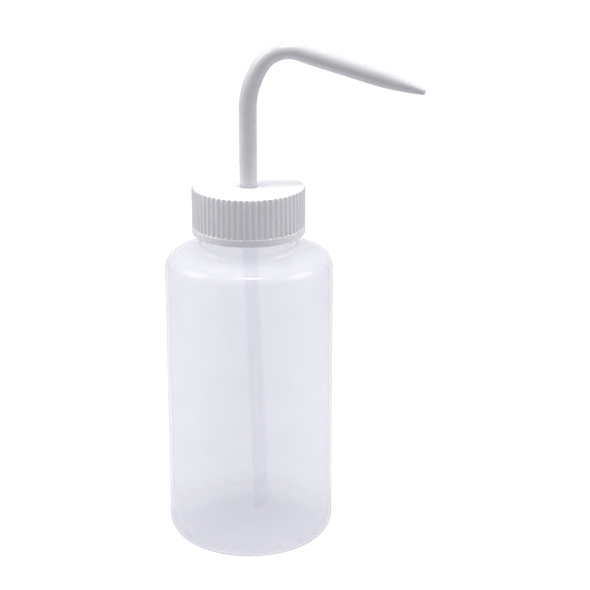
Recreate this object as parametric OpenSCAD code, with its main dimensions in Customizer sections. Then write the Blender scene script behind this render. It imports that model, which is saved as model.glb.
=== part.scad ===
// Wash bottle: a squeeze bottle with a ribbed screw cap, a swan-neck spout and a draw tube.
// Millimetres, +Z up. The origin is the centre of the base, on the bottle's axis.
// The spout's arm points along +X.

/* [Bottle] */
// Outside diameter of the body
body_d = 75; // [70:0.5:90]
// Height at which the straight wall ends and the shoulder begins
wall_top = 127.7; // [90:0.1:160]
// Radius of the rounded edge round the base
base_edge_r = 8.8; // [4:0.1:12]
// Radius of the shoulder's outer corner
shoulder_r = 7.3; // [4:0.1:10]
// Slope of the shoulder above level, in degrees
shoulder_slope = 12.3; // [8:0.1:20]
// Thickness of the body's wall, its shoulder and its base
wall = 1.3; // [0.8:0.1:2]
// Height by which the middle of the base is pushed up
push_up = 1.6; // [0.8:0.1:2.5]
// Width of the pushed-up middle of the base
push_up_d = 48; // [30:1:54]

/* [Neck] */
// Outside diameter of the neck, under its thread
neck_d = 42.6; // [41:0.1:43]
// Diameter of the mouth
mouth_d = 38.4; // [34:0.1:39]
// Radius of the hollow where the neck leaves the shoulder
neck_fillet_r = 2.4; // [1:0.1:4]
// Height of the neck above the end of the straight wall
neck_rise = 34.4; // [33.5:0.1:36]
// Amount by which the bead round the neck, just under the cap, stands out
bead_out = 0.7; // [0.4:0.1:1]
// Height of that bead
bead_h = 4.2; // [3:0.1:5]

/* [Thread] */
// Rise of the thread in one turn
pitch = 4; // [3.5:0.1:5]
// Turns of thread on the neck, and as many in the cap
thread_turns = 1.25; // [1:0.05:1.4]
// Height by which the thread stands out of the neck and of the cap's wall
thread_height = 1.25; // [1:0.05:1.3]
// Width of the thread at its foot
thread_foot = 1.9; // [1.5:0.05:2]
// Width of the thread at its crest
thread_crest = 0.8; // [0.5:0.05:1.2]

/* [Cap] */
// Outside diameter of the cap, over its ribs
cap_d = 50.2; // [50:0.1:54]
// Height of the cap
cap_h = 20.8; // [19:0.1:22]
// Thickness of the cap's roof
roof = 1.8; // [1.2:0.1:2.5]
// Inside diameter of the cap's skirt
skirt_bore_d = 46; // [45.9:0.1:46.6]
// Number of grooves between the grip ribs
groove_count = 62; // [40:1:70]
// Radius of each groove
groove_r = 0.85; // [0.5:0.05:0.95]
// Depth of each groove
groove_depth = 0.85; // [0.4:0.05:0.9]
// Height of the plain band under the grooves
band_h = 3; // [1:0.1:6]
// Radius of the cap's top edge
cap_edge_r = 0.8; // [0.2:0.05:1.2]

/* [Sealing liner] */
// Thickness of the liner
liner_t = 1; // [0.6:0.1:1.5]
// Diameter of the liner
liner_d = 45.2; // [44:0.1:45.6]
// Diameter of the hole in the liner
liner_hole_d = 15; // [14.8:0.1:18]

/* [Spout] */
// Outside diameter of the spout's tube
tube_d = 7.8; // [7:0.1:9]
// Bore of the spout's tube
tube_bore_d = 4.8; // [3.5:0.1:5.2]
// Height of the upright stem above the cap
stem_h = 34.2; // [20:0.1:60]
// Centreline radius of the gentle first bend
bend_1_r = 35.5; // [20:0.5:60]
// Angle of the first bend
bend_1_angle = 32; // [15:1:50]
// Centreline radius of the tight second bend
bend_2_r = 14.8; // [12:0.1:25]
// Angle of the second bend
bend_2_angle = 75.8; // [40:0.1:85]
// Length of the arm before it narrows
arm_l = 31; // [10:0.5:60]
// Length of the narrowing jet
jet_l = 26; // [15:0.5:40]
// Outside diameter of the jet's tip
tip_d = 2.7; // [2.2:0.1:4]
// Diameter of the jet's hole
jet_hole_d = 1.2; // [0.8:0.1:1.5]

/* [Spout's seat in the cap] */
// Diameter of the hole in the cap's roof
seat_hole_d = 7.4; // [6.8:0.1:7.6]
// Diameter of the flange under the roof
flange_d = 14; // [10:0.5:14]
// Thickness of the flange
flange_t = 1.2; // [0.8:0.1:2]
// Diameter of the spigot that the draw tube is pushed on to
spigot_d = 5; // [4.5:0.1:5.4]
// Length of the spigot
spigot_l = 8; // [6:0.5:14]
// Bore of the spigot
spigot_bore_d = 3.2; // [2:0.1:3.5]

/* [Draw tube] */
// Outside diameter of the draw tube
draw_d = 7; // [6:0.1:8]
// Radius of the bend where the draw tube begins to lean
lean_bend_r = 200; // [100:10:400]
// Lean of the draw tube away from the bottle's axis, in degrees
lean = 2; // [1:0.1:4]
// Height of the draw tube's lower end above the table
draw_end_z = 9; // [6:0.5:20]

/* [Hidden] */

$fn = 96;
body_r = body_d / 2;
neck_r = neck_d / 2;
mouth_r = mouth_d / 2;
cap_r = cap_d / 2;
skirt_r = skirt_bore_d / 2;
tube_r = tube_d / 2;
draw_r = draw_d / 2;

// Gap between faces that rest on each other, and between the spout's groove and its hole
face_gap = 0.05;
// Amount by which a cutting shape passes the face that it cuts, and a thread enters its wall
past = 1;
embed = 0.3;
// Amount by which the ball at a tube's joint is wider than the tube
joint_swell = 0.01;

// Heights, from the lip of the neck up to the top of the cap and down to its rim
lip_z = wall_top + neck_rise;
roof_z = lip_z + face_gap + liner_t + face_gap;
cap_top_z = roof_z + roof;
cap_z = cap_top_z - cap_h;
flange_top_z = roof_z - face_gap;
flange_z = flange_top_z - flange_t;

// The bead's top is this far under the lip, and its edges are rounded
bead_drop = 18.6;
bead_edge_r = 0.3;

// The neck's thread starts this far under the lip, and the cap's runs just below it
thread_top_drop = 6.6;
thread_gap = 0.25;
thread_z = lip_z - thread_top_drop - thread_turns * pitch;
cap_thread_drop = (thread_foot + thread_crest) / 2 + thread_gap;
thread_steps = 36;
thread_fade = 4;

// The bore stays full for this far into the jet, and the jet's hole is straight for its last stretch
jet_bore_l = 4;
jet_hole_l = 2;

// Colours
milky = [0.93, 0.93, 0.96, 0.5];
white = [0.95, 0.95, 0.96];
soft_white = [0.88, 0.88, 0.90];
foam_white = [0.90, 0.90, 0.88];

// Half of the body's outline, drawn in by inset, up to where the shoulder's slope meets throat_r.
// The neck is drawn separately, because its wall is thicker than the body's.
module body_outline(inset, throat_r) {
    edge_x = body_r - base_edge_r;
    corner_x = body_r - shoulder_r;
    corner_r = shoulder_r - inset;
    slope_x = corner_x + corner_r * sin(shoulder_slope);
    slope_z = wall_top + corner_r * cos(shoulder_slope);
    throat_z = slope_z + (slope_x - throat_r) * tan(shoulder_slope);
    translate([0, inset]) square([edge_x, base_edge_r]);
    translate([edge_x, base_edge_r]) circle(r = base_edge_r - inset);
    translate([0, base_edge_r]) square([body_r - inset, wall_top - base_edge_r]);
    translate([corner_x, wall_top]) circle(r = corner_r);
    polygon([
        [0, wall_top - past], [corner_x, wall_top - past], [corner_x, wall_top],
        [slope_x, slope_z], [throat_r, throat_z], [0, throat_z]
    ]);
}

// The hollow that leads from the shoulder's slope into the upright neck
module neck_hollow_outline() {
    r = neck_fillet_r;
    slope_x = body_r - shoulder_r + shoulder_r * sin(shoulder_slope);
    slope_z = wall_top + shoulder_r * cos(shoulder_slope);
    centre_x = neck_r + r;
    centre_z = slope_z + (slope_x - centre_x) * tan(shoulder_slope) + r / cos(shoulder_slope);
    reach = r + past;
    difference() {
        polygon([
            [neck_r - past, centre_z], [centre_x, centre_z],
            [centre_x - reach * sin(shoulder_slope), centre_z - reach * cos(shoulder_slope)],
            [neck_r - past, centre_z - reach]
        ]);
        translate([centre_x, centre_z]) circle(r = r);
    }
}

// The bead round the neck, with its two outer edges rounded
module bead_outline() {
    low = lip_z - bead_drop - bead_h;
    e = bead_edge_r;
    out_r = neck_r + bead_out;
    translate([0, low]) square([out_r - e, bead_h]);
    translate([0, low + e]) square([out_r, bead_h - 2 * e]);
    for (z = [low + e, low + bead_h - e])
        translate([out_r - e, z]) circle(r = e);
}

// One helical thread. It grows from foot_r to crest_r, outwards on the neck and inwards in the cap.
function fade(i, n) = min(1, (i + 0.4) / thread_fade, (n - i + 0.4) / thread_fade);
function thread_ring(foot_r, crest_r, a, z, f) =
    let (
        r = foot_r + (crest_r - foot_r) * f,
        foot = thread_foot / 2,
        crest = thread_crest / 2,
        corners = [[foot_r, z - foot], [r, z - crest], [r, z + crest], [foot_r, z + foot]]
    )
    [for (c = corners) [c[0] * cos(a), c[0] * sin(a), c[1]]];

module thread(foot_r, crest_r, z) {
    n = round(thread_turns * thread_steps);
    points = [
        for (i = [0 : n])
            for (p = thread_ring(foot_r, crest_r, 360 * i / thread_steps, z + pitch * i / thread_steps,
                                 fade(i, n)))
                p
    ];
    sides = [
        for (i = [0 : n - 1])
            for (j = [0 : 3])
                for (t = [[j, (j + 1) % 4, 4 + (j + 1) % 4], [j, 4 + (j + 1) % 4, 4 + j]])
                    [for (k = t) 4 * i + k]
    ];
    ends = [[3, 2, 1], [3, 1, 0], [4 * n, 4 * n + 1, 4 * n + 2], [4 * n, 4 * n + 2, 4 * n + 3]];
    faces = concat(sides, ends);
    outward = crest_r > foot_r;
    polyhedron(points, outward ? faces : [for (f = faces) [f[2], f[1], f[0]]], convexity = 6);
}

// A solid bend that starts at the origin going up and turns towards +X
module bend(bend_r, angle, r) {
    translate([bend_r, 0, 0])
        rotate([90, 0, 0])
            rotate_extrude(angle = angle, start = 180 - angle)
                translate([bend_r, 0]) circle(r = r);
}

// Moves what follows to the far end of that bend
module after_bend(bend_r, angle) {
    translate([bend_r * (1 - cos(angle)), 0, bend_r * sin(angle)])
        rotate([0, angle, 0])
            children();
}

// A ball a hair wider than the tube, which closes the joint between two legs of it
module joint_ball(r) {
    sphere(r = r + joint_swell);
}

// The tube's two bends and what follows them along the arm, from the top of the stem
module swan_neck(r) {
    bend(bend_1_r, bend_1_angle, r);
    after_bend(bend_1_r, bend_1_angle) {
        joint_ball(r);
        bend(bend_2_r, bend_2_angle, r);
        after_bend(bend_2_r, bend_2_angle) {
            joint_ball(r);
            children();
        }
    }
}

// The bottle: one blow-moulded shell with a pushed-up base and a threaded neck
module bottle() {
    dome_r = (pow(push_up_d / 2, 2) + pow(push_up, 2)) / (2 * push_up);
    lip_r = (neck_r - mouth_r) / 4;
    color(milky) {
        rotate_extrude()
            difference() {
                union() {
                    intersection() {
                        body_outline(0, neck_r);
                        square([body_r, lip_z]);
                    }
                    neck_hollow_outline();
                    bead_outline();
                    translate([0, wall_top]) square([neck_r, neck_rise - lip_r]);
                    translate([0, wall_top]) square([neck_r - lip_r, neck_rise]);
                    translate([neck_r - lip_r, lip_z - lip_r]) circle(r = lip_r);
                }
                difference() {
                    intersection() {
                        body_outline(wall, mouth_r);
                        square([body_r, lip_z]);
                    }
                    translate([0, push_up - dome_r]) circle(r = dome_r + wall, $fn = 720);
                }
                translate([0, wall_top]) square([mouth_r, neck_rise + past]);
                intersection() {
                    translate([0, push_up - dome_r]) circle(r = dome_r, $fn = 720);
                    square([push_up_d, push_up_d]);
                }
            }
        thread(neck_r - embed, neck_r + thread_height, thread_z);
    }
}

// The cap: a moulded cup with fluted sides, a plain band at its rim and a hole for the spout
module screw_cap() {
    color(white) {
        difference() {
            rotate_extrude()
                difference() {
                    union() {
                        translate([0, cap_z]) square([cap_r, cap_h - cap_edge_r]);
                        translate([0, cap_z]) square([cap_r - cap_edge_r, cap_h]);
                        translate([cap_r - cap_edge_r, cap_top_z - cap_edge_r]) circle(r = cap_edge_r);
                    }
                    translate([0, cap_z - past]) square([skirt_r, cap_h - roof + past]);
                    square([seat_hole_d / 2, cap_top_z + past]);
                }
            for (i = [0 : groove_count - 1])
                rotate([0, 0, (i + 0.5) * 360 / groove_count])
                    translate([cap_r - groove_depth + groove_r, 0, cap_z + band_h])
                        cylinder(r = groove_r, h = cap_h, $fn = 24);
        }
        thread(skirt_r + embed, skirt_r - thread_height, thread_z - cap_thread_drop);
    }
}

// The sealing liner: a flat ring between the cap's roof and the neck's lip
module sealing_liner() {
    color(foam_white)
        translate([0, 0, lip_z + face_gap])
            difference() {
                cylinder(d = liner_d, h = liner_t);
                translate([0, 0, -past]) cylinder(d = liner_hole_d, h = liner_t + 2 * past);
            }
}

// The spout: a flanged tube that is bent into a swan neck and drawn down to a jet
module swan_neck_spout() {
    taper_r = (pow(jet_l, 2) + pow(tube_r - tip_d / 2, 2)) / (2 * (tube_r - tip_d / 2));
    bore_r = tube_bore_d / 2;
    bend_z = cap_top_z + stem_h;
    color(soft_white)
        difference() {
            union() {
                translate([0, 0, cap_top_z + face_gap]) cylinder(r = tube_r, h = stem_h - face_gap);
                translate([0, 0, bend_z])
                    swan_neck(tube_r) {
                        cylinder(r = tube_r, h = arm_l);
                        translate([0, 0, arm_l]) jet_outside(taper_r);
                    }
                translate([0, 0, flange_z])
                    cylinder(r = seat_hole_d / 2 - face_gap, h = cap_top_z - flange_z + past);
                translate([0, 0, flange_z]) cylinder(d = flange_d, h = flange_t);
                translate([0, 0, flange_z - spigot_l]) cylinder(d = spigot_d, h = spigot_l + flange_t);
            }
            translate([0, 0, flange_z - spigot_l - past]) cylinder(d = spigot_bore_d, h = spigot_l + 2 * past);
            translate([0, 0, flange_z]) cylinder(r = bore_r, h = bend_z - flange_z);
            translate([0, 0, bend_z])
                swan_neck(bore_r) {
                    cylinder(r = bore_r, h = arm_l + jet_bore_l);
                    translate([0, 0, arm_l + jet_bore_l])
                        cylinder(r1 = bore_r, r2 = jet_hole_d / 2, h = jet_l - jet_bore_l - jet_hole_l);
                    translate([0, 0, arm_l + jet_l - jet_hole_l])
                        cylinder(d = jet_hole_d, h = jet_hole_l + past);
                }
        }
}

// The outside of the jet: it leaves the tube smoothly and narrows faster towards its tip
module jet_outside(taper_r) {
    rotate_extrude()
        intersection() {
            translate([tube_r - taper_r, 0]) circle(r = taper_r, $fn = 360);
            square([tube_r, jet_l]);
        }
}

// The draw tube: pushed on to the spigot, it leans a little towards the spout's side
module draw_tube() {
    color(milky)
        translate([0, 0, flange_z])
            rotate([180, 0, 0])
                difference() {
                    draw_path(draw_r, 0);
                    draw_path(spigot_d / 2, past);
                }
}

// The draw tube's line, as a solid rod that runs over at both ends
module draw_path(r, over) {
    leaning_l = (flange_z - spigot_l - lean_bend_r * sin(lean) - draw_end_z) / cos(lean);
    translate([0, 0, -over]) cylinder(r = r, h = spigot_l + over);
    translate([0, 0, spigot_l]) {
        bend(lean_bend_r, lean, r);
        after_bend(lean_bend_r, lean) {
            joint_ball(r);
            cylinder(r = r, h = leaning_l + over);
        }
    }
}

bottle();
screw_cap();
sealing_liner();
swan_neck_spout();
draw_tube();
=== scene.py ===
import math

import bmesh
import bpy
from mathutils import Matrix, Vector, noise


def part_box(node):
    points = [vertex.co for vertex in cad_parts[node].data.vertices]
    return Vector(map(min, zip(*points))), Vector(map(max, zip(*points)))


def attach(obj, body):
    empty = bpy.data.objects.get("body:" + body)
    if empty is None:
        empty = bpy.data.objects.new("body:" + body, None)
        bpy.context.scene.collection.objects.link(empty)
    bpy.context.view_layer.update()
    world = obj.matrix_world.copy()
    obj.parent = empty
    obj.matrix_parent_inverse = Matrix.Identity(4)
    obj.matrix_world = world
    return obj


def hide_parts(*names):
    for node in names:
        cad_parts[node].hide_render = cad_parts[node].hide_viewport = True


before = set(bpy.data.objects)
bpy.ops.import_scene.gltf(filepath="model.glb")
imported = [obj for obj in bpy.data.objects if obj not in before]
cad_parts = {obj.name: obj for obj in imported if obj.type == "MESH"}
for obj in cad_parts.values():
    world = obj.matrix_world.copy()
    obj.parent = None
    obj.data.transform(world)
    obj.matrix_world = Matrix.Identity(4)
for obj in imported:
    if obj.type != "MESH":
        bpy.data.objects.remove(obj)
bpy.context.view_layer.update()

mm = 0.001

# ------------------------------------------------------------------------------------------------
# Camera and picture
# A long lens on a stand a little above the cap, looking down on a bottle that stands in the open.
# ------------------------------------------------------------------------------------------------
camera_tilt = 18.54
camera_data = bpy.data.cameras.new("stand_camera")
camera_data.lens = 107.1
camera_data.sensor_width = 36
camera_data.clip_end = 50
camera = bpy.data.objects.new("stand_camera", camera_data)
camera.location = (20.5 * mm, -747 * mm, 365 * mm)
camera.rotation_euler = (math.radians(90 - camera_tilt), 0, 0)
bpy.context.scene.collection.objects.link(camera)
bpy.context.scene.camera = camera
bpy.context.scene.view_settings.view_transform = "Standard"
bpy.context.scene.cycles.transparent_max_bounces = 24

# ------------------------------------------------------------------------------------------------
# Bottle
# Blow-moulded in one piece from soft milky polyethylene: a thin even wall, a thicker threaded neck
# and a pushed-up base. The plastic is cloudier in the neck and in the corner of the base.
# ------------------------------------------------------------------------------------------------
bottle_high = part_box("bottle")[1]
body_r = bottle_high.x
lip_z = bottle_high.z
wall = 1.3 * mm
wall_top = 127.7 * mm
edge_r = 8.8 * mm
shoulder_r = 7.3 * mm
shoulder_slope = 12.3
neck_r = 21.3 * mm
mouth_r = 19.2 * mm
hollow_r = 2.4 * mm
lip_r = 0.5 * mm
bead_out = 0.7 * mm
bead_edge_r = 0.3 * mm
bead_top = lip_z - 18.6 * mm
bead_low = bead_top - 4.2 * mm
push_up = 1.6 * mm
push_up_r = 24 * mm
pitch = 4 * mm
thread_turns = 1.25
thread_drop = 6.6 * mm
thread_height = 1.25 * mm
thread_root = 0.3 * mm
bottle_turn_steps = 192
wall_inset = 0.02 * mm
wall_wander = 0.02 * mm
wall_fade = 20 * mm


def arc(centre_x, centre_z, radius, start, end, count):
    """Points of an arc in the plane of radius and height. 0 degrees is outwards and 90 is up."""
    points = []
    for i in range(count + 1):
        angle = math.radians(start + (end - start) * i / count)
        points.append((centre_x + radius * math.cos(angle), centre_z + radius * math.sin(angle)))
    return points


def lathe(bm, outline, steps, closed=False):
    """Turns an outline of (radius, height) points about the upright axis into a skin."""
    verts = [bm.verts.new((x, 0, z)) for x, z in outline]
    edges = [bm.edges.new(pair) for pair in zip(verts, verts[1:])]
    if closed:
        edges.append(bm.edges.new((verts[-1], verts[0])))
    bmesh.ops.spin(
        bm, geom=verts + edges, cent=(0, 0, 0), axis=(0, 0, 1), angle=math.tau, steps=steps, use_merge=True
    )
    bmesh.ops.remove_doubles(bm, verts=bm.verts, dist=0.001 * mm)
    bmesh.ops.recalc_face_normals(bm, faces=bm.faces)


def piece_from(bm, name, sharp=35):
    """Puts a finished bmesh into the scene as a smooth-shaded piece with its real corners kept."""
    mesh = bpy.data.meshes.new(name)
    bm.to_mesh(mesh)
    bm.free()
    mesh.shade_smooth()
    mesh.set_sharp_from_angle(angle=math.radians(sharp))
    piece = bpy.data.objects.new(name, mesh)
    bpy.context.scene.collection.objects.link(piece)
    return piece


def bottle_outline():
    """The closed outline of the wall: up the outside from under the base, and down the inside."""
    tan_slope = math.tan(math.radians(shoulder_slope))
    sin_slope = math.sin(math.radians(shoulder_slope))
    cos_slope = math.cos(math.radians(shoulder_slope))
    dome_r = (push_up_r ** 2 + push_up ** 2) / (2 * push_up)
    dome_z = push_up - dome_r
    dome_edge = math.degrees(math.asin(-dome_z / dome_r))
    corner_x = body_r - shoulder_r
    slope_x = corner_x + shoulder_r * sin_slope
    slope_z = wall_top + shoulder_r * cos_slope
    hollow_x = neck_r + hollow_r
    hollow_z = slope_z + (slope_x - hollow_x) * tan_slope + hollow_r / cos_slope
    outside = arc(0, dome_z, dome_r, 90, dome_edge, 10)
    outside += arc(body_r - edge_r, edge_r, edge_r, -90, 0, 16)
    outside += [(body_r, edge_r + (wall_top - edge_r) * i / 30) for i in range(1, 30)]
    outside += arc(corner_x, wall_top, shoulder_r, 0, 90 - shoulder_slope, 14)
    outside += arc(hollow_x, hollow_z, hollow_r, 270 - shoulder_slope, 180, 8)
    outside += [(neck_r, bead_low)]
    outside += arc(neck_r + bead_out - bead_edge_r, bead_low + bead_edge_r, bead_edge_r, -90, 0, 4)
    outside += arc(neck_r + bead_out - bead_edge_r, bead_top - bead_edge_r, bead_edge_r, 0, 90, 4)
    outside += [(neck_r, bead_top)]
    outside += arc(neck_r - lip_r, lip_z - lip_r, lip_r, 0, 90, 4)
    inside = arc(mouth_r + lip_r, lip_z - lip_r, lip_r, 90, 180, 4)
    inner_r = shoulder_r - wall
    throat_x = corner_x + inner_r * sin_slope
    throat_z = wall_top + inner_r * cos_slope
    throat_rise = (throat_x - mouth_r - hollow_r) * tan_slope + hollow_r / cos_slope
    inside += arc(mouth_r + hollow_r, throat_z + throat_rise, hollow_r, 180, 270 - shoulder_slope, 8)
    inside += arc(corner_x, wall_top, inner_r, 90 - shoulder_slope, 0, 12)
    inside += [(body_r - wall, wall_top - (wall_top - edge_r) * i / 30) for i in range(1, 30)]
    inside += arc(body_r - edge_r, edge_r, edge_r - wall, 0, -90, 14)
    floor_edge = math.degrees(math.asin((wall - dome_z) / (dome_r + wall)))
    inside += arc(0, dome_z, dome_r + wall, floor_edge, 90, 10)
    return outside + inside


def add_thread(bm, foot_r, crest_r, start_z):
    """A helical ridge, swept from one section by a spin that climbs, with both ends run out."""
    foot, crest = 0.95 * mm, 0.4 * mm
    steps = 60
    count = round(thread_turns * steps)
    corners = [(foot_r, -foot), (crest_r, -crest), (crest_r, crest), (foot_r, foot)]
    verts = [bm.verts.new((x, 0, start_z + z)) for x, z in corners]
    face = bm.faces.new(verts)
    first = set(bm.verts) - set(verts)
    bmesh.ops.spin(
        bm, geom=[face], cent=(0, 0, 0), axis=(0, 0, 1), dvec=(0, 0, pitch / steps),
        angle=math.tau * thread_turns, steps=count,
    )
    fade = 5 * math.tau / steps
    for v in set(bm.verts) - first:
        along = (v.co.z - start_z) / pitch * math.tau
        into = min(1.0, (along + 0.1) / fade, (math.tau * thread_turns - along + 0.1) / fade)
        radius = math.hypot(v.co.x, v.co.y)
        if abs(radius - crest_r) < 0.01 * mm:
            scale = (foot_r + (crest_r - foot_r) * max(0.35, into)) / radius
            v.co.x *= scale
            v.co.y *= scale


def joined_solid(piece, other):
    """Welds another closed shell into a piece and takes the loose one away."""
    weld = piece.modifiers.new("weld", "BOOLEAN")
    weld.operation = "UNION"
    weld.solver = "EXACT"
    weld.object = other
    welded = bpy.data.meshes.new_from_object(piece.evaluated_get(bpy.context.evaluated_depsgraph_get()))
    piece.modifiers.clear()
    piece.data = welded
    bpy.data.objects.remove(other)


shell = bmesh.new()
lathe(shell, bottle_outline(), bottle_turn_steps)
for v in shell.verts:
    # The wall of a soft bottle is never quite true: it wanders by a few hundredths of a millimetre
    above_base = min(1.0, max(0.0, (v.co.z - edge_r) / wall_fade))
    below_shoulder = min(1.0, max(0.0, (wall_top - v.co.z) / wall_fade))
    freedom = above_base * below_shoulder
    across = Vector((v.co.x, v.co.y, 0))
    if freedom and across.length > neck_r:
        waves = noise.noise(Vector((v.co.x, v.co.y, v.co.z * 0.6)) * 38)
        v.co -= across.normalized() * (wall_inset + wall_wander * waves) * freedom
bottle = piece_from(shell, "bottle_shell")
thread_shell = bmesh.new()
thread_z = lip_z - thread_drop - thread_turns * pitch
add_thread(thread_shell, neck_r - thread_root, neck_r + thread_height, thread_z)
bmesh.ops.recalc_face_normals(thread_shell, faces=thread_shell.faces)
joined_solid(bottle, piece_from(thread_shell, "neck_thread"))
bottle.data.shade_smooth()
bottle.data.set_sharp_from_angle(angle=math.radians(35))


def new_material(name):
    """An empty procedural material, with its node tree and its output node."""
    material = bpy.data.materials.new(name)
    material.use_nodes = True
    material.node_tree.nodes.clear()
    output = material.node_tree.nodes.new("ShaderNodeOutputMaterial")
    return material, material.node_tree, output


def put(tree, kind, **values):
    """Adds a node and sets its sockets; a name's underscores stand for spaces."""
    made = tree.nodes.new(kind)
    for key, value in values.items():
        made.inputs[key.replace("_", " ")].default_value = value
    return made


def cloudy(tree, places, scale, low, high, detail=3.0, stretch=(1, 1, 1)):
    """Soft noise over the piece, spread between two values."""
    mapping = put(tree, "ShaderNodeMapping", Scale=stretch)
    tree.links.new(places.outputs["Object"], mapping.inputs["Vector"])
    spots = put(tree, "ShaderNodeTexNoise", Scale=scale, Detail=detail)
    tree.links.new(mapping.outputs["Vector"], spots.inputs["Vector"])
    spread = put(tree, "ShaderNodeMapRange", To_Min=low, To_Max=high)
    spread.inputs["From Min"].default_value = 0.3
    spread.inputs["From Max"].default_value = 0.7
    tree.links.new(spots.outputs["Fac"], spread.inputs["Value"])
    return spread.outputs["Result"]


def bumpy(tree, height, strength, distance, under=None):
    """Turns a height into a bump, on top of another bump where one is given."""
    bump = put(tree, "ShaderNodeBump", Strength=strength, Distance=distance)
    tree.links.new(height, bump.inputs["Height"])
    if under is not None:
        tree.links.new(under, bump.inputs["Normal"])
    return bump.outputs["Normal"]


def marked(mesh, name, rule):
    """Gives every point of a mesh a number between 0 and 1 that its material reads by name."""
    layer = mesh.attributes.new(name, "FLOAT", "POINT")
    for v in mesh.vertices:
        layer.data[v.index].value = min(1.0, max(0.0, rule(v)))


def chosen(tree, name, low, high):
    """A value between two others, sockets or constants, as the piece's own number says."""
    number = put(tree, "ShaderNodeAttribute")
    number.attribute_name = name
    spread = put(tree, "ShaderNodeMapRange")
    tree.links.new(number.outputs["Fac"], spread.inputs["Value"])
    for key, value in (("To Min", low), ("To Max", high)):
        if isinstance(value, bpy.types.NodeSocket):
            tree.links.new(value, spread.inputs[key])
        else:
            spread.inputs[key].default_value = value
    return spread.outputs["Result"]


def translucent_plastic(name, colour, clear, cloudier, edge, glow, rough):
    """Milky film: some light goes straight through, the rest is scattered, and a gloss lies on top."""
    material, tree, output = new_material(name)
    places = put(tree, "ShaderNodeTexCoord")
    skin = cloudy(tree, places, 900, 0.0, 1.0, 2.0)
    flow = cloudy(tree, places, 60, 0.0, 1.0, 2.0, stretch=(1, 1, 0.15))
    normal = bumpy(tree, flow, 0.2, 0.1 * mm, bumpy(tree, skin, 0.02, 0.02 * mm))
    surface = put(tree, "ShaderNodeBsdfPrincipled", Base_Color=colour, Roughness=0.8)
    surface.inputs["Specular IOR Level"].default_value = 0.0
    tree.links.new(normal, surface.inputs["Normal"])
    through = put(tree, "ShaderNodeBsdfTranslucent", Color=colour)
    scattered = put(tree, "ShaderNodeMixShader", Fac=glow)
    tree.links.new(surface.outputs[0], scattered.inputs[1])
    tree.links.new(through.outputs[0], scattered.inputs[2])
    straight = put(tree, "ShaderNodeBsdfTransparent", Color=(0.988, 0.988, 1.0, 1.0))
    aslant = put(tree, "ShaderNodeLayerWeight", Blend=0.5)
    steeper = put(tree, "ShaderNodeMath")
    steeper.operation = "POWER"
    steeper.inputs[1].default_value = 3
    tree.links.new(aslant.outputs["Facing"], steeper.inputs[0])
    haze = put(tree, "ShaderNodeMapRange")
    tree.links.new(chosen(tree, "shaded", 0.0, steeper.outputs[0]), haze.inputs["Value"])
    head_on = cloudy(tree, places, 60, clear - 0.01, clear + 0.01)
    tree.links.new(chosen(tree, "thick", head_on, cloudier), haze.inputs["To Min"])
    tree.links.new(chosen(tree, "thick", edge, cloudier - 0.35), haze.inputs["To Max"])
    film = put(tree, "ShaderNodeMixShader")
    tree.links.new(haze.outputs["Result"], film.inputs["Fac"])
    tree.links.new(scattered.outputs[0], film.inputs[1])
    tree.links.new(straight.outputs[0], film.inputs[2])
    grazing = put(tree, "ShaderNodeMath")
    grazing.operation = "POWER"
    grazing.inputs[1].default_value = 5
    tree.links.new(aslant.outputs["Facing"], grazing.inputs[0])
    mirror = put(tree, "ShaderNodeMapRange", To_Min=0.018, To_Max=0.7)
    tree.links.new(grazing.outputs[0], mirror.inputs["Value"])
    gloss = put(tree, "ShaderNodeBsdfGlossy", Color=(1, 1, 1, 1))
    tree.links.new(cloudy(tree, places, 120, rough - 0.03, rough + 0.03), gloss.inputs["Roughness"])
    tree.links.new(normal, gloss.inputs["Normal"])
    glazed = put(tree, "ShaderNodeMixShader")
    tree.links.new(chosen(tree, "inner", mirror.outputs["Result"], 0.0), glazed.inputs["Fac"])
    tree.links.new(film.outputs[0], glazed.inputs[1])
    tree.links.new(gloss.outputs[0], glazed.inputs[2])
    tree.links.new(glazed.outputs[0], output.inputs["Surface"])
    return material


def inside_skin(v):
    """1 where a point is on the inside of the bottle: it faces up in the base, and the axis above it."""
    if v.co.z < edge_r - 1 * mm:
        return 1.0 if v.normal.z > 0 else 0.0
    outwards = v.normal.x * v.co.x + v.normal.y * v.co.y
    return 1.0 if outwards < -0.05 * math.hypot(v.co.x, v.co.y) else 0.0


def shaded_skin(v):
    """How far a point shades towards the edge: all over the inside skin, and low down on the outside."""
    return max(inside_skin(v), 1 - v.co.z / (9 * mm))


def thick_wall(v):
    """How much cloudier a point is than the plain wall: a little in the neck, most in the base corner."""
    neck_share = min(0.3, (v.co.z - wall_top) / (24 * mm))
    return max(neck_share, (12 * mm - v.co.z) / (9 * mm))


marked(bottle.data, "inner", inside_skin)
marked(bottle.data, "shaded", shaded_skin)
marked(bottle.data, "thick", thick_wall)
bottle.data.materials.clear()
bottle.data.materials.append(
    translucent_plastic(
        "milky_polyethylene", colour=(0.955, 0.955, 0.98, 1), clear=0.782, cloudier=0.715, edge=0.72,
        glow=0.6, rough=0.15,
    )
)
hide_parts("bottle")
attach(bottle, "bottle")

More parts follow.
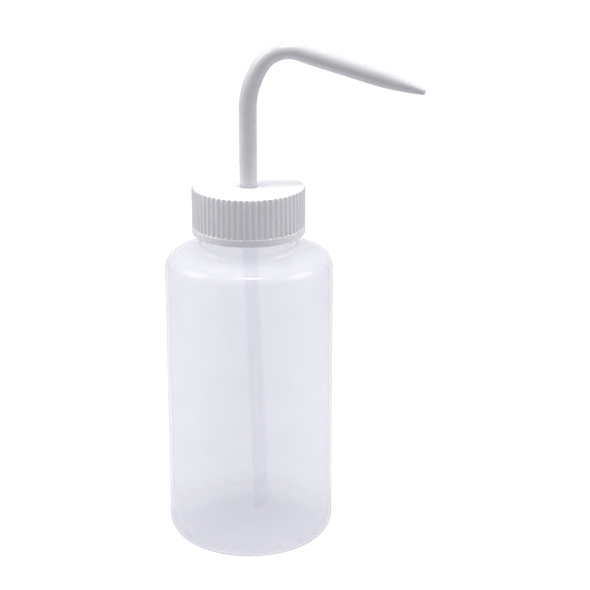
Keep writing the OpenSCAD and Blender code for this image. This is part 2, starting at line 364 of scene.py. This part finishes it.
# ------------------------------------------------------------------------------------------------
# Screw cap
# Injection-moulded from white polypropylene: round flutes run out through the top edge and end on a
# ledge above a plain band. Inside are the thread and the roof that presses on the liner.
# ------------------------------------------------------------------------------------------------
cap_low, cap_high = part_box("screw_cap")
cap_r = 25.1 * mm
cap_z = cap_low.z
cap_top = cap_high.z
flute_count = 62
flute_r = 1.0 * mm
flute_depth = 0.85 * mm
flute_steps = 12
flute_zone = 1 * mm
ledge_z = cap_z + 3 * mm
ledge_rise = 0.38 * mm
skirt_r = 23 * mm
roof_z = cap_top - 1.8 * mm
seat_r = 3.7 * mm
top_edge_r = 0.8 * mm
crest_round = 0.07 * mm
cap_thread_drop = 1.6 * mm


def flute(angle):
    """How deep the flutes bite at an angle round the cap, with their edges rounded over."""
    half = math.pi / flute_count
    away = (angle % (2 * half)) - half
    centre = cap_r - flute_depth + flute_r
    side = centre * math.sin(away)
    if abs(side) >= flute_r:
        return 0.0
    depth = cap_r - centre * math.cos(away) + math.sqrt(flute_r ** 2 - side ** 2)
    return max(0.0, (depth + math.sqrt(depth ** 2 + crest_round ** 2) - crest_round) / 2)


def cap_outline():
    """The closed outline of the cap: up the outside, over the roof, and down the inside."""
    outside = arc(cap_r - 0.4 * mm, cap_z + 0.4 * mm, 0.4 * mm, -90, 0, 5)
    ledge_shares = (-0.2, 0, 0.12, 0.25, 0.4, 0.6, 0.8, 1, 1.4)
    outside += [(cap_r, ledge_z + ledge_rise * share) for share in ledge_shares]
    outside += arc(cap_r - top_edge_r, cap_top - top_edge_r, top_edge_r, 0, 90, 12)
    roof = [(cap_r - 1.2 * mm, cap_top), (20 * mm, cap_top), (12 * mm, cap_top), (6 * mm, cap_top)]
    roof += [(seat_r + 0.15 * mm, cap_top), (seat_r, cap_top - 0.15 * mm), (seat_r, roof_z)]
    under = [(9 * mm, roof_z), (skirt_r - 0.6 * mm, roof_z)]
    under += arc(skirt_r - 0.6 * mm, roof_z - 0.6 * mm, 0.6 * mm, 90, 0, 4)
    under += [(skirt_r, cap_z + 1 * mm), (skirt_r + 0.3 * mm, cap_z)]
    return outside + roof + under


moulding = bmesh.new()
lathe(moulding, cap_outline(), flute_count * flute_steps, closed=True)
for v in moulding.verts:
    radius = math.hypot(v.co.x, v.co.y)
    if radius > cap_r - flute_zone and v.co.z > ledge_z:
        # The foot of a flute slopes out to the ledge, and its top runs out through the rounded edge
        share = math.sin(math.pi / 2 * min(1.0, (v.co.z - ledge_z) / ledge_rise))
        scale = min(1.0, (cap_r - flute(math.atan2(v.co.y, v.co.x)) * share) / radius)
        v.co.x *= scale
        v.co.y *= scale
cap_thread_z = lip_z - thread_drop - thread_turns * pitch - cap_thread_drop
add_thread(moulding, skirt_r + thread_root, skirt_r - thread_height, cap_thread_z)
bmesh.ops.recalc_face_normals(moulding, faces=moulding.faces)
cap = piece_from(moulding, "cap_moulding", sharp=50)


def moulded_plastic(name, colour, rough, grain, relief):
    """White moulded plastic: a fine even grain, faint clouds in its shine and its whiteness."""
    material, tree, output = new_material(name)
    places = put(tree, "ShaderNodeTexCoord")
    surface = put(tree, "ShaderNodeBsdfPrincipled", IOR=1.49)
    surface.inputs["Subsurface Weight"].default_value = 0.06
    surface.inputs["Subsurface Radius"].default_value = (1, 1, 1)
    surface.inputs["Subsurface Scale"].default_value = 0.6 * mm
    shade = put(tree, "ShaderNodeMix")
    shade.data_type = "RGBA"
    shade.inputs[6].default_value = colour
    shade.inputs[7].default_value = tuple(c * 0.97 for c in colour[:3]) + (1,)
    tree.links.new(cloudy(tree, places, 90, 0.0, 1.0), shade.inputs[0])
    tree.links.new(shade.outputs[2], surface.inputs["Base Color"])
    tree.links.new(cloudy(tree, places, 160, rough - 0.06, rough + 0.06), surface.inputs["Roughness"])
    fine = cloudy(tree, places, grain, 0.0, 1.0, 2.0)
    broad = cloudy(tree, places, 140, 0.0, 1.0, 2.0)
    grained = bumpy(tree, fine, 0.25, relief)
    tree.links.new(bumpy(tree, broad, 0.2, 0.05 * mm, grained), surface.inputs["Normal"])
    tree.links.new(surface.outputs[0], output.inputs["Surface"])
    return material


cap.data.materials.append(moulded_plastic(
    "white_polypropylene", colour=(0.9, 0.9, 0.92, 1), rough=0.33, grain=2600, relief=0.01 * mm
))
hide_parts("screw_cap")
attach(cap, "cap")

# ------------------------------------------------------------------------------------------------
# Sealing liner
# A ring punched from white foam sheet. The neck's lip has pressed a shallow groove into its underside.
# ------------------------------------------------------------------------------------------------
liner_low, liner_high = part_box("sealing_liner")
liner_r = liner_high.x
liner_hole_r = 7.5 * mm
corner = 0.15 * mm
dent = 0.12 * mm

ring = bmesh.new()
lathe(ring, [
    (liner_hole_r, liner_low.z + corner), (liner_hole_r + corner, liner_low.z),
    (mouth_r - 0.4 * mm, liner_low.z), (mouth_r, liner_low.z + dent),
    (neck_r, liner_low.z + dent), (neck_r + 0.4 * mm, liner_low.z),
    (liner_r - corner, liner_low.z), (liner_r, liner_low.z + corner),
    (liner_r, liner_high.z - corner), (liner_r - corner, liner_high.z),
    (liner_hole_r + corner, liner_high.z), (liner_hole_r, liner_high.z - corner),
], 128, closed=True)
liner = piece_from(ring, "foam_liner")


def foam():
    """Closed-cell foam: small rounded cells and a dull skin."""
    material, tree, output = new_material("white_foam")
    places = put(tree, "ShaderNodeTexCoord")
    cells = put(tree, "ShaderNodeTexVoronoi", Scale=2200)
    tree.links.new(places.outputs["Object"], cells.inputs["Vector"])
    surface = put(tree, "ShaderNodeBsdfPrincipled", Base_Color=(0.86, 0.86, 0.84, 1))
    tree.links.new(bumpy(tree, cells.outputs["Distance"], 0.5, 0.08 * mm), surface.inputs["Normal"])
    tree.links.new(cloudy(tree, places, 300, 0.75, 0.9), surface.inputs["Roughness"])
    tree.links.new(surface.outputs[0], output.inputs["Surface"])
    return material


liner.data.materials.append(foam())
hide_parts("sealing_liner")
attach(liner, "liner")

# ------------------------------------------------------------------------------------------------
# Spout
# One white polyethylene tube: a spigot and a flange under the cap, an upright stem, a hot bend that
# leaves the tube a little flat, and an arm drawn down to a jet. It is hollow from end to end.
# ------------------------------------------------------------------------------------------------
spout_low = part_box("swan_neck_spout")[0]
play = 0.05 * mm
tube_r = 3.9 * mm
tube_bore_r = 2.4 * mm
seat_z = cap_top + play
bend_z = cap_top + 34.2 * mm
bend_1_r = 35.5 * mm
bend_1_angle = math.radians(32)
bend_2_r = 14.8 * mm
bend_2_angle = math.radians(75.8)
arm_l = 31 * mm
jet_l = 26 * mm
tip_r = 1.35 * mm
jet_hole_r = 0.6 * mm
flange_r = 7 * mm
flange_t = 1.2 * mm
flange_edge = 0.2 * mm
flange_z = roof_z - play - flange_t
spigot_z = spout_low.z
spigot_r = 2.5 * mm
spigot_bore_r = 1.6 * mm
bend_flat = 0.07

bend_1_centre = Vector((bend_1_r, 0, bend_z))
turn_1 = Matrix.Rotation(bend_1_angle, 4, "Y")
after_1 = Matrix.Translation(bend_1_centre) @ turn_1 @ Matrix.Translation((-bend_1_r, 0, 0))
bend_2_centre = after_1 @ Vector((bend_2_r, 0, 0))
turn_2 = Matrix.Rotation(bend_2_angle, 4, "Y")
after_2 = after_1 @ Matrix.Translation((bend_2_r, 0, 0)) @ turn_2 @ Matrix.Translation((-bend_2_r, 0, 0))


def new_ring(bm, radius, frame_of_ring, segments=48):
    """A ring of edges across the tube."""
    made = bmesh.ops.create_circle(
        bm, cap_ends=False, radius=radius, segments=segments, matrix=frame_of_ring
    )
    return list({edge for v in made["verts"] for edge in v.link_edges})


def pull(bm, edges, radius, next_radius, frame_of_ring, step):
    """Draws the tube on from a ring: along its own axis by step, and to the next radius."""
    made = bmesh.ops.extrude_edge_only(bm, edges=edges)["geom"]
    verts = [g for g in made if isinstance(g, bmesh.types.BMVert)]
    scale = next_radius / radius
    change = Matrix.Translation((0, 0, step)) @ Matrix.Diagonal((scale, scale, 1, 1))
    bmesh.ops.transform(bm, verts=verts, matrix=frame_of_ring @ change @ frame_of_ring.inverted())
    kept = set(verts)
    return [g for g in made if isinstance(g, bmesh.types.BMEdge) and set(g.verts) <= kept]


def swing(bm, edges, centre, angle, steps):
    """Bends the tube on from a ring, about a centre beside it."""
    verts = list({v for edge in edges for v in edge.verts})
    made = bmesh.ops.spin(bm, geom=verts + edges, cent=centre, axis=(0, 1, 0), angle=angle, steps=steps)
    return [g for g in made["geom_last"] if isinstance(g, bmesh.types.BMEdge)]


def along(bm, edges, stations, start, frame_of_ring):
    """Follows a list of (distance, radius) stations from a ring on one straight line."""
    distance, radius = start
    for next_distance, next_radius in stations:
        here = frame_of_ring @ Matrix.Translation((0, 0, distance))
        edges = pull(bm, edges, radius, next_radius, here, next_distance - distance)
        distance, radius = next_distance, next_radius
    return edges


def upright(bm, edges, outline):
    """The same for an upright stretch, given as (radius, height) points."""
    stations = [(z, x) for x, z in outline[1:]]
    return along(bm, edges, stations, (outline[0][1], outline[0][0]), Matrix.Identity(4))


tube = bmesh.new()
taper_r = (jet_l ** 2 + (tube_r - tip_r) ** 2) / (2 * (tube_r - tip_r))
below = [(spigot_bore_r, spigot_z), (spigot_r - 0.3 * mm, spigot_z), (spigot_r, spigot_z + 0.5 * mm)]
below += [(spigot_r, flange_z), (flange_r - flange_edge, flange_z), (flange_r, flange_z + flange_edge)]
below += [(flange_r, flange_z + flange_t - flange_edge), (flange_r - flange_edge, flange_z + flange_t)]
below += [(seat_r - play, flange_z + flange_t), (seat_r - play, seat_z)]
below += [(tube_r - 0.1 * mm, seat_z), (tube_r, seat_z + 0.1 * mm)]
below += [(tube_r, seat_z + (bend_z - seat_z) * i / 12) for i in range(1, 13)]
first = new_ring(tube, spigot_bore_r, Matrix.Translation((0, 0, spigot_z)))
edge_loop = upright(tube, first, below)
edge_loop = swing(tube, edge_loop, bend_1_centre, bend_1_angle, 20)
edge_loop = swing(tube, edge_loop, bend_2_centre, bend_2_angle, 40)
arm = [(arm_l * i / 10, tube_r) for i in range(1, 11)]
for i in range(1, 16):
    drawn = jet_l * i / 16
    arm.append((arm_l + drawn, tube_r - taper_r + math.sqrt(taper_r ** 2 - drawn ** 2)))
tip_end = arm_l + jet_l
arm += [(tip_end - 0.2 * mm, tip_r + 0.04 * mm), (tip_end - 0.05 * mm, tip_r - 0.05 * mm)]
arm += [(tip_end, tip_r - 0.2 * mm), (tip_end, jet_hole_r + 0.1 * mm), (tip_end - 0.1 * mm, jet_hole_r)]
arm += [(tip_end - 2 * mm, jet_hole_r), (arm_l + 4 * mm, tube_bore_r)]
arm += [(arm_l - arm_l * i / 6, tube_bore_r) for i in range(0, 7)]
edge_loop = along(tube, edge_loop, arm, (0, tube_r), after_2)
edge_loop = swing(tube, edge_loop, bend_2_centre, -bend_2_angle, 24)
edge_loop = swing(tube, edge_loop, bend_1_centre, -bend_1_angle, 10)
bore = [(tube_bore_r, bend_z), (tube_bore_r, cap_top), (tube_bore_r, flange_z), (spigot_bore_r, flange_z)]
bore += [(spigot_bore_r, spigot_z)]
edge_loop = upright(tube, edge_loop, bore)
bmesh.ops.remove_doubles(tube, verts=tube.verts, dist=0.001 * mm)
for v in tube.verts:
    # A hot bend leaves the tube a little flat in the plane of the bend, most of all at its middle
    spoke = Vector((v.co.x - bend_2_centre.x, 0, v.co.z - bend_2_centre.z))
    turned = math.atan2(spoke.x, spoke.z) + math.pi / 2 - bend_1_angle
    if v.co.z > bend_z + bend_1_r * math.sin(bend_1_angle) * 0.6 and spoke.length < bend_2_r * 1.6:
        share = max(0.0, math.sin(math.pi * min(1.0, max(0.0, (turned + 0.35) / (bend_2_angle + 0.7)))))
        offset = spoke.length - bend_2_r
        v.co -= spoke.normalized() * offset * bend_flat * share
        v.co.y *= 1 + bend_flat * 0.5 * share
bmesh.ops.recalc_face_normals(tube, faces=tube.faces)
spout = piece_from(tube, "spout_tube", sharp=40)
spout.data.materials.append(moulded_plastic(
    "white_polyethylene", colour=(0.765, 0.765, 0.785, 1), rough=0.3, grain=1500, relief=0.012 * mm
))
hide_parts("swan_neck_spout")
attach(spout, "spout")

# ------------------------------------------------------------------------------------------------
# Draw tube
# Plain milky tubing pushed on to the spigot. It keeps a slight lean from the coil that it was cut
# from, and its lower end is cut on a slant so that it can't sit flat on the base.
# ------------------------------------------------------------------------------------------------
draw_low, draw_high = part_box("draw_tube")
draw_r = 3.5 * mm
draw_edge = 0.15 * mm
lean_bend_r = 200 * mm
lean = math.radians(2)
slant = math.tan(math.radians(35))
lean_z = draw_high.z - 8 * mm
lean_centre = Vector((lean_bend_r, 0, lean_z))
down = Matrix.Rotation(math.pi, 4, "X")
back_to_tube = Matrix.Translation((-lean_bend_r, 0, 0))
hanging = Matrix.Translation(lean_centre) @ Matrix.Rotation(-lean, 4, "Y") @ back_to_tube @ down
lean_low_z = draw_low.z + draw_r * math.sin(lean)
leaning_l = (lean_z - lean_bend_r * math.sin(lean) - lean_low_z) / math.cos(lean)

tubing = bmesh.new()
first = new_ring(tubing, spigot_r, Matrix.Translation((0, 0, draw_high.z)))
top = [(spigot_r, draw_high.z), (draw_r - draw_edge, draw_high.z)]
top += [(draw_r, draw_high.z - draw_edge), (draw_r, lean_z)]
edge_loop = upright(tubing, first, top)
edge_loop = swing(tubing, edge_loop, lean_centre, -lean, 4)
line = [(leaning_l * i / 20, draw_r) for i in range(1, 21)] + [(leaning_l, spigot_r)]
line += [(leaning_l * (1 - i / 20), spigot_r) for i in range(1, 21)]
edge_loop = along(tubing, edge_loop, line, (0, draw_r), hanging)
edge_loop = swing(tubing, edge_loop, lean_centre, lean, 4)
edge_loop = upright(tubing, edge_loop, [(spigot_r, lean_z), (spigot_r, draw_high.z)])
bmesh.ops.remove_doubles(tubing, verts=tubing.verts, dist=0.001 * mm)
tip = hanging @ Vector((0, 0, leaning_l))
for v in tubing.verts:
    if (hanging.inverted() @ v.co).z > leaning_l - 0.01 * mm:
        v.co.z += (v.co.x - tip.x + draw_r) * slant
bmesh.ops.recalc_face_normals(tubing, faces=tubing.faces)
draw_tube = piece_from(tubing, "draw_tubing", sharp=40)
draw_tube.data.materials.append(translucent_plastic(
    "clear_tubing", colour=(0.97, 0.97, 0.98, 1), clear=0.972, cloudier=0.97, edge=0.95, glow=0.5,
    rough=0.3,
))
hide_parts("draw_tube")
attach(draw_tube, "spout")

# ------------------------------------------------------------------------------------------------
# Table, lamps and surroundings
# A white table, a strip lamp overhead, a soft box on each side at half height, and surroundings that
# are bright behind and above, and dim on the camera's side. Table and surroundings look washed out to
# white when seen directly, as if overexposed, and what they cast on the bottle is dimmer than that.
# ------------------------------------------------------------------------------------------------
table = bmesh.new()
table_half = 4
table_gap = 0.1 * mm
bmesh.ops.create_grid(table, x_segments=8, y_segments=8, size=table_half)
floor = piece_from(table, "table")
floor.location.z = -table_gap
material, tree, output = new_material("white_table")
shaded = put(tree, "ShaderNodeBsdfDiffuse", Color=(0.61, 0.61, 0.63, 1))
places = put(tree, "ShaderNodeTexCoord")
away = put(tree, "ShaderNodeVectorMath")
away.operation = "LENGTH"
tree.links.new(places.outputs["Object"], away.inputs[0])
nearness = put(tree, "ShaderNodeMapRange", To_Min=0.9, To_Max=1.0)
nearness.inputs["From Min"].default_value = 60 * mm
nearness.inputs["From Max"].default_value = 500 * mm
tree.links.new(away.outputs["Value"], nearness.inputs["Value"])
washed_out = put(tree, "ShaderNodeEmission", Color=(1, 1, 1, 1))
tree.links.new(nearness.outputs["Result"], washed_out.inputs["Strength"])
traced = put(tree, "ShaderNodeBsdfDiffuse", Color=(0.16, 0.16, 0.16, 1))
exposed = put(tree, "ShaderNodeAddShader")
tree.links.new(washed_out.outputs[0], exposed.inputs[0])
tree.links.new(traced.outputs[0], exposed.inputs[1])
path = put(tree, "ShaderNodeLightPath")
both = put(tree, "ShaderNodeMixShader")
tree.links.new(path.outputs["Is Camera Ray"], both.inputs["Fac"])
tree.links.new(shaded.outputs[0], both.inputs[1])
tree.links.new(exposed.outputs[0], both.inputs[2])
tree.links.new(both.outputs[0], output.inputs["Surface"])
floor.data.materials.append(material)


def soft_box(name, bearing, height, distance, width, depth, radiance):
    """A lamp at a bearing from the camera's side and a height in degrees. It faces the shoulder."""
    middle = Vector((0, 0, 130 * mm))
    raised = Matrix.Rotation(math.radians(-height), 3, "X")
    swing_to = Matrix.Rotation(math.radians(bearing), 3, "Z") @ raised
    place = middle + swing_to @ Vector((0, -distance, 0))
    lamp = bpy.data.lights.new(name, "AREA")
    lamp.shape = "RECTANGLE"
    lamp.size = width
    lamp.size_y = depth
    lamp.energy = radiance * math.pi * width * depth
    box = bpy.data.objects.new(name, lamp)
    box.location = place
    box.rotation_euler = (middle - place).to_track_quat("-Z", "Y").to_euler()
    bpy.context.scene.collection.objects.link(box)


soft_box("overhead_strip", bearing=0, height=84, distance=1.05, width=0.42, depth=0.15, radiance=24)
soft_box("left_box", bearing=-97, height=43, distance=1.1, width=0.62, depth=0.62, radiance=4.6)
soft_box("right_box", bearing=93, height=40, distance=1.1, width=0.6, depth=0.55, radiance=4.2)

world = bpy.data.worlds.new("white_room")
bpy.context.scene.world = world
world.use_nodes = True
tree = world.node_tree
tree.nodes.clear()
seen = put(tree, "ShaderNodeBackground", Color=(1, 1, 1, 1), Strength=1.0)
cast = put(tree, "ShaderNodeBackground", Color=(0.95, 0.95, 1, 1))
direction = put(tree, "ShaderNodeTexCoord")
lit_from = put(tree, "ShaderNodeVectorMath")
lit_from.operation = "DOT_PRODUCT"
lit_from.inputs[1].default_value = Vector((0, 1, 1)).normalized()
tree.links.new(direction.outputs["Generated"], lit_from.inputs[0])
fall = put(tree, "ShaderNodeMapRange", To_Min=0.02, To_Max=0.66)
fall.inputs["From Min"].default_value = -1.0
tree.links.new(lit_from.outputs["Value"], fall.inputs["Value"])
tree.links.new(fall.outputs["Result"], cast.inputs["Strength"])
path = put(tree, "ShaderNodeLightPath")
both = put(tree, "ShaderNodeMixShader")
tree.links.new(path.outputs["Is Camera Ray"], both.inputs["Fac"])
tree.links.new(cast.outputs[0], both.inputs[1])
tree.links.new(seen.outputs[0], both.inputs[2])
sky = put(tree, "ShaderNodeOutputWorld")
tree.links.new(both.outputs[0], sky.inputs["Surface"])
